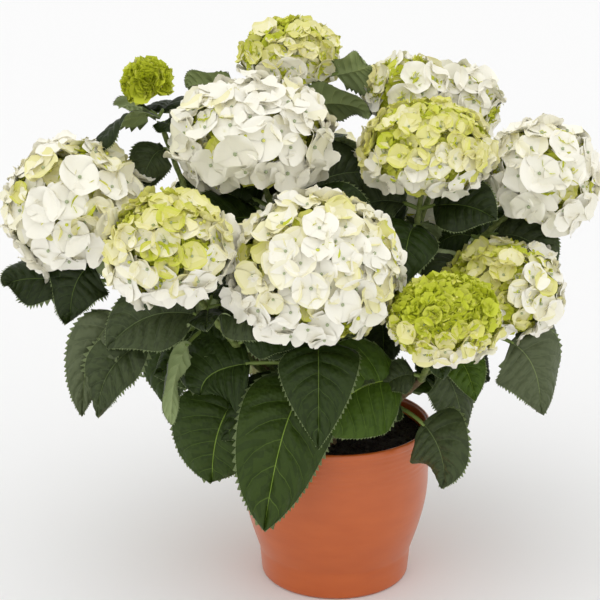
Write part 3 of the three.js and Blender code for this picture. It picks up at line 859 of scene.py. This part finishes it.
# A head, in metres and in shares of its radii.
LEAN_OUT = 1.6  # how a head's axis leans, for each metre from the middle of the plant
CANDIDATES, GAP_CANDIDATES, INNER_COUNT = 5200, 1800, 130
BARE_BELOW, BUD_BARE_BELOW = -0.62, -0.3  # no florets this far under a head
PATCHES, PATCH_DEPTH = 2.2, 0.05
HOLLOW_SPREAD, HOLLOW_FORWARD, HOLLOW_DEPTH = 0.3, [0, 0.3, 0], 0.75
RIM_FROM, RIM_RANGE, RIM_OPEN = 0.15, 0.4, 0.3  # the lower rim is more open
VALUE_SPREAD, SIZE_SPREAD = 0.07, (0.86, 1.12)
YOUNG_SIZE, SIZE_POWER = 9, 0.75  # millimetres
BUD_LUMPS = 0.16
SHELL, OPEN_LIFT, LIFT_POWER, SHELL_SPREAD = 0.8, 0.12, 0.6, 0.02
FLORET_SPACING, FLORET_TILT = 0.5, 0.2
WIDE_FROM, SMALL_GROWTH = 0.017, 1.15
GAP_DEPTH, GAP_CLEARANCE, GAP_SPACING = 0.84, 0.34, 0.0075
GAP_WIDTH, GAP_OPEN = 0.013, 0.3
INNER_DEPTH, INNER_WIDTH, INNER_OPEN = 0.76, 0.022, 0.2
FILL_OPEN, FILL_SPREAD = 0.4, 0.12
BEADED_BELOW, FEW_BEADS, MANY_BEADS = 0.3, 160, 620  # a head this closed has the many
BEAD_SIZES, BEADS_FROM, BEADS_TO, BEADS_OUT_TO = (0.0012, 0.0021), 0.8, 0.95, 1.0
HUB_DOWN, PEDICEL_SAG, PEDICEL_RADIUS = 0.55, 0.006, 0.0008


def make_head(pile, twigs, name):
    """One head: florets over its surface, younger ones in its gaps, beads, and a pedicel to each of its wider
    florets.
    """
    openness, gradient, hollows, hollow_width, floret = HEADS[name]
    centre, radii = HEAD_SHAPES[name]
    random = np.random.default_rng(sum(map(ord, name)))
    lean = unit(np.array([centre[0] * LEAN_OUT, centre[1] * LEAN_OUT, 1.0]))
    directions = unit(random.normal(size=(CANDIDATES, 3)))
    directions = directions[directions @ lean > (BUD_BARE_BELOW if name == "bud" else BARE_BELOW)]
    patches = noise(directions, len(name) + 7, PATCHES) * PATCH_DEPTH
    value = openness + directions @ np.array(gradient) + patches
    for hollow in unit(random.normal(size=(hollows, 3)) + lean * HOLLOW_SPREAD - HOLLOW_FORWARD):
        apart = np.degrees(np.arccos(np.clip(directions @ hollow, -1, 1)))
        value -= HOLLOW_DEPTH * np.exp(-((apart / hollow_width) ** 2))
    rim = np.clip((RIM_FROM - directions @ lean) / RIM_RANGE, 0, 1)
    value = np.clip(value + RIM_OPEN * rim + random.normal(0, VALUE_SPREAD, len(value)), 0, 1)
    size = (YOUNG_SIZE + (floret - YOUNG_SIZE) * value**SIZE_POWER) * MM
    if name == "bud":
        size = np.full(len(value), floret * MM)
    size = size * random.uniform(*SIZE_SPREAD, len(size))
    depth = SHELL + OPEN_LIFT * value**LIFT_POWER + random.normal(0, SHELL_SPREAD, len(value))
    if name == "bud":
        depth = SHELL + BUD_LUMPS * noise(directions, 3, 5) ** 2
    places = centre + directions * radii * depth[:, None]
    kept = scatter(places, size * FLORET_SPACING)
    tilts = random.normal(0, FLORET_TILT, directions.shape)
    outward = unit(directions / radii + tilts / radii.mean())
    wide = kept[size[kept] >= WIDE_FROM]
    small = kept[size[kept] < WIDE_FROM]
    add_florets(pile, WIDE, places[wide], outward[wide], size[wide], value[wide], random)
    add_florets(pile, SMALL, places[small], outward[small], size[small] * SMALL_GROWTH, value[small], random)
    # Young florets fill the gaps and the inside.
    gaps = directions[:GAP_CANDIDATES]
    points = centre + gaps * radii * GAP_DEPTH
    apart = np.linalg.norm(points[:, None] - places[kept], axis=2)
    free = (apart > size[kept] * GAP_CLEARANCE).all(1)
    gaps, points = gaps[free], points[free]
    if len(gaps):
        gaps = gaps[scatter(points, np.full(len(gaps), GAP_SPACING))]
    inside = directions[-INNER_COUNT:]
    fillings = ((gaps, GAP_DEPTH, GAP_WIDTH, GAP_OPEN), (inside, INNER_DEPTH, INNER_WIDTH, INNER_OPEN))
    for inner, depth, width, young in fillings:
        age = np.clip(young * (FILL_OPEN + openness) + random.normal(0, FILL_SPREAD, len(inner)), 0, 1)
        middles = centre + inner * radii * depth
        add_florets(pile, SMALL, middles, inner, np.full(len(inner), width), age, random)
    closed = openness <= BEADED_BELOW
    buds = directions[: MANY_BEADS if closed else FEW_BEADS]
    bud_size = random.uniform(*BEAD_SIZES, len(buds))
    bud_depth = random.uniform(BEADS_FROM, BEADS_OUT_TO if closed else BEADS_TO, len(buds))
    bud_places = centre + buds * radii * bud_depth[:, None]
    add_beads(pile, bud_places, bud_size, random.integers(0, 3, len(buds)))
    hub = centre - lean * radii[2] * HUB_DOWN
    for place in places[wide]:
        stalk = Curve(hub, (hub + place) / 2 - lean * PEDICEL_SAG, place)
        tube(twigs, stalk, 0.05, 1, lambda t: PEDICEL_RADIUS + 0 * t, 3, 4, 1)


# ---- Making the plant ----

twigs = Pile()
foliage = make_leaves(twigs)

leaf_materials = []
# Each green's dark part is the blade's mottling and the painted shade beside its veins.
for green, colours in GREENS.items():
    for part, colour in zip(("blade", "dark", "vein", "midrib"), colours):
        material = textured(f"{green}_{part}", colour, 0.5, 0.1, 240, 0.8, Specular_IOR_Level=0.22)
        leaf_materials.append(material)
leaf_materials += [plain("leaf_under", UNDERSIDE, 0.65), plain("vein_under", UNDER_VEIN, 0.6)]
for group, pile in foliage.items():
    piece = pile.piece("leaves_" + group, leaf_materials)
    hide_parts(*["leaves_" + name for name in FOLIAGE[group]])

sepal_materials = [plain(f"sepal_{k}", colour, 0.6) for k, colour in enumerate(SEPALS)]
sepal_materials.append(plain("floret_eye", EYE, 0.6))
for group, names in BLOSSOM.items():
    pile = Pile()
    for name in names:
        make_head(pile, twigs, name)
    piece = pile.piece("blossom_" + group, sepal_materials)
    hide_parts(*["head_" + name for name in names])


# Stems and shoots, in metres.
RIDGE, RING, JOINT = 0.0002, 0.00018, 0.0009
STEM_FOOT, STEM_THINNING = 0.0052, 0.0012
SHOOT_FOOT, SHOOT_THINNING = 0.0033, 0.0009
STEM_START, SHOOT_END = -0.03, 0.86  # shares of their curves: in the compost, and inside the head
SHOOT_SEED = 20


def stem_relief(seed):
    """The relief of bark: ridges that wander along it, fine rings, and a swollen joint here and there."""

    def relief(along, angle):
        ridges = np.sin(angle * 5 + np.sin(along * 160 + seed) * 1.4) * RIDGE
        rings = np.sin(along * 420 + angle * 2 + seed) * RING
        joints = np.maximum(0, np.sin(along * 190 + seed)) ** 12 * JOINT
        return ridges + rings + joints

    return relief


stems, shoots = Pile(), Pile()
for k, name in enumerate(STEM_NAMES):
    curve, relief = STEM_CURVES[name], stem_relief(k)
    tube(stems, curve, STEM_START, 1, lambda t: STEM_FOOT - STEM_THINNING * t, 14, 70, 0, relief)
for k, curve in enumerate(SHOOT_CURVES.values()):
    relief = stem_relief(k + SHOOT_SEED)
    tube(shoots, curve, 0, SHOOT_END, lambda t: SHOOT_FOOT - SHOOT_THINNING * t, 10, 60, 0, relief)

piece = stems.piece("stems", [mottled("bark", *BARK, 0.85, 260, 0.5)])
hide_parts(*["stem_" + name for name in STEM_NAMES])
piece = shoots.piece("shoots", [mottled("shoot", *SHOOT, 0.6, 300, 0.2)])
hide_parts(*["bough_" + name for name in HEADS])
piece = twigs.piece("stalks", [plain("petiole", PETIOLE, 0.55), plain("pedicel", PEDICEL, 0.6)])

# ---- Pot and compost ----

# The pot, in millimetres.
FOOT, WAIST, BELLY, LIP, INSIDE = 73, 75.5, 92, 93.2, 88.6  # radii
WAIST_AT, BELLY_AT, SHOULDER_AT, POT_HEIGHT, POT_FLOOR = 28, 105, 154, 160, 6
WALL = 4
SIDES = 120


def wall_radius(z):
    """The pot's outside radius at a height, below the lip."""
    rise = np.clip((z - WAIST_AT) / (BELLY_AT - WAIST_AT), 0, 1)
    foot = FOOT + (WAIST - FOOT) * np.clip(z / WAIST_AT, 0, 1)
    return foot + (BELLY - WAIST) * np.sin(rise * np.pi / 2)


def turned(pile, profile, slot):
    """A closed solid turned about the upright axis from (radius, height) points."""
    radius, z = np.array(profile, float).T
    angle = np.linspace(0, 2 * np.pi, SIDES, endpoint=False)
    x, y = np.outer(radius, np.cos(angle)), np.outer(radius, np.sin(angle))
    points = np.stack([x, y, np.outer(z, np.ones(SIDES))], -1)
    pile.add(points.reshape(-1, 3) * MM, grid_faces(len(z), SIDES, closed=True), slot)


# Fine turning lines run round the wall, and are clearest near the top.
heights = np.concatenate([np.linspace(3, 120, 60), np.linspace(121, SHOULDER_AT - 2, 34)])
lines = np.sin(heights * 1.9) * 0.03 + np.sin(heights * 1.17 + 1) * np.where(heights > 122, 0.16, 0.03)
outside = list(zip(wall_radius(heights) + lines, heights))
foot = [(0.01, 0), (66, 0), (70, 0.15), (71.8, 0.7), (72.8, 1.8)]
lip = [
    (92.2, 153), (92.7, 153.6), (93.1, 154.6), (LIP, 155.6),
    (LIP, 157.8), (92.8, 159), (92, 159.7), (91, POT_HEIGHT),
]
rim = [(90, 159.9), (89.2, 159.3), (INSIDE, 158)]
down = np.linspace(156, POT_FLOOR, 24)
inside = list(zip(wall_radius(down) - WALL, down))
pot = Pile()
turned(pot, foot + outside + lip + rim + inside + [(0.01, POT_FLOOR)], 0)
clay = mottled("clay", *CLAY, 0.34, 24, 0.04, stretch=3, Coat_Weight=0.3, Coat_Roughness=0.22)
piece = pot.piece("clay_pot", [clay])
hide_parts("pot")

# The compost, in metres.
COMPOST_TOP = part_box("soil")[1][2]
COMPOST_RADIUS = 0.0876
COMPOST_DIP = 0.0034  # at the wall
COMPOST_BELOW = 0.0012
COMPOST_FOOT = 0.12
CRUMBS, CRUMBS_WITHIN = 1500, 0.086
CRUMB_DEPTHS, CRUMB_SIZES = (0.0004, 0.0024), (0.0008, 0.0026)

radii = np.concatenate([np.linspace(0.5, 84, 40), [86.5, 87.6]]) * MM
angle = np.linspace(0, 2 * np.pi, SIDES, endpoint=False)
x, y = np.outer(radii, np.cos(angle)), np.outer(radii, np.sin(angle))
flat = np.stack([x, y, 0 * x], -1).reshape(-1, 3)
surface = COMPOST_TOP - COMPOST_DIP * (np.hypot(x, y).ravel() / COMPOST_RADIUS) ** 2 - COMPOST_BELOW
for seed, scale, height in ((5, 90, 0.0012), (6, 260, 0.0007), (7, 800, 0.0004)):
    surface = surface + noise(flat, seed, scale) * height
compost = Pile()
top = np.stack([x.ravel(), y.ravel(), surface], -1)
skirt = np.stack([x[-1], y[-1], 0 * x[-1] + COMPOST_FOOT], -1)
compost.add(np.concatenate([top, skirt]), grid_faces(len(radii) + 1, SIDES, closed=True), 0)
random = np.random.default_rng(77)
distance, turn = CRUMBS_WITHIN * np.sqrt(random.random(CRUMBS)), random.uniform(0, TURN, CRUMBS)
crumbs = np.stack([distance * np.cos(turn), distance * np.sin(turn), 0 * turn], -1)
crumbs[:, 2] = COMPOST_TOP - COMPOST_DIP * (distance / COMPOST_RADIUS) ** 2
crumbs[:, 2] -= random.uniform(*CRUMB_DEPTHS, CRUMBS)
crumb_sizes = random.uniform(*CRUMB_SIZES, CRUMBS) * random.choice([1, 1, 1.4], CRUMBS)
add_beads(compost, crumbs, crumb_sizes, 0)
piece = compost.piece("compost", [mottled("compost", *COMPOST, 0.95, 420, 0.8)])
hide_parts("soil")

# ---- Camera, floor and light ----

ROOM_FRONT, ROOM_BACK = 0.98, 0.99  # how bright the room is
ROOM_FRONT_AT, ROOM_BACK_AT = -0.9, 0.3  # how far back each is reached
KEY, KEY_SOFTNESS, KEY_DIRECTION = 0.42, 60, (0.6, 0.7, -2.2)
FLOOR_HALF = 14
# Metres, degrees, and millimetres for the lens and sensor.
CAMERA_AT, CAMERA_DOWN, LENS, SENSOR = (-0.035, -1.6, 0.806), 18.1, 105, 36

floor = bpy.data.meshes.new("floor")
corners = [(x * FLOOR_HALF, y * FLOOR_HALF, 0) for x, y in ((-1, -1), (1, -1), (1, 1), (-1, 1))]
floor.from_pydata(corners, [], [(0, 1, 2, 3)])
floor_piece = bpy.data.objects.new("floor", floor)
bpy.context.scene.collection.objects.link(floor_piece)
floor.materials.append(plain("floor", FLOOR, 0.9))

# The room is a shade brighter behind the plant than in front of it.
world = bpy.data.worlds.new("studio")
world.use_nodes = True
room = world.node_tree
room.nodes["Background"].inputs["Color"].default_value = (1, 1, 1, 1)
place = room.nodes.new("ShaderNodeTexCoord")
apart = room.nodes.new("ShaderNodeSeparateXYZ")
glow = room.nodes.new("ShaderNodeMapRange")
glow.inputs["From Min"].default_value = ROOM_FRONT_AT
glow.inputs["From Max"].default_value = ROOM_BACK_AT
glow.inputs["To Min"].default_value = ROOM_FRONT
glow.inputs["To Max"].default_value = ROOM_BACK
room.links.new(place.outputs["Generated"], apart.inputs["Vector"])
room.links.new(apart.outputs["Y"], glow.inputs["Value"])
room.links.new(glow.outputs["Result"], room.nodes["Background"].inputs["Strength"])
bpy.context.scene.world = world
bpy.context.scene.view_settings.view_transform = "Standard"

sun = bpy.data.lights.new("key", "SUN")
sun.energy = KEY
sun.angle = math.radians(KEY_SOFTNESS)
sun_piece = bpy.data.objects.new("key", sun)
sun_piece.rotation_mode = "QUATERNION"
sun_piece.rotation_quaternion = Vector(KEY_DIRECTION).to_track_quat("-Z", "Y")
bpy.context.scene.collection.objects.link(sun_piece)

camera = bpy.data.objects.new("camera", bpy.data.cameras.new("camera"))
camera.location = CAMERA_AT
camera.rotation_euler = (math.radians(90 - CAMERA_DOWN), 0, 0)
camera.data.lens = LENS
camera.data.sensor_width = SENSOR
bpy.context.scene.collection.objects.link(camera)
bpy.context.scene.camera = camera
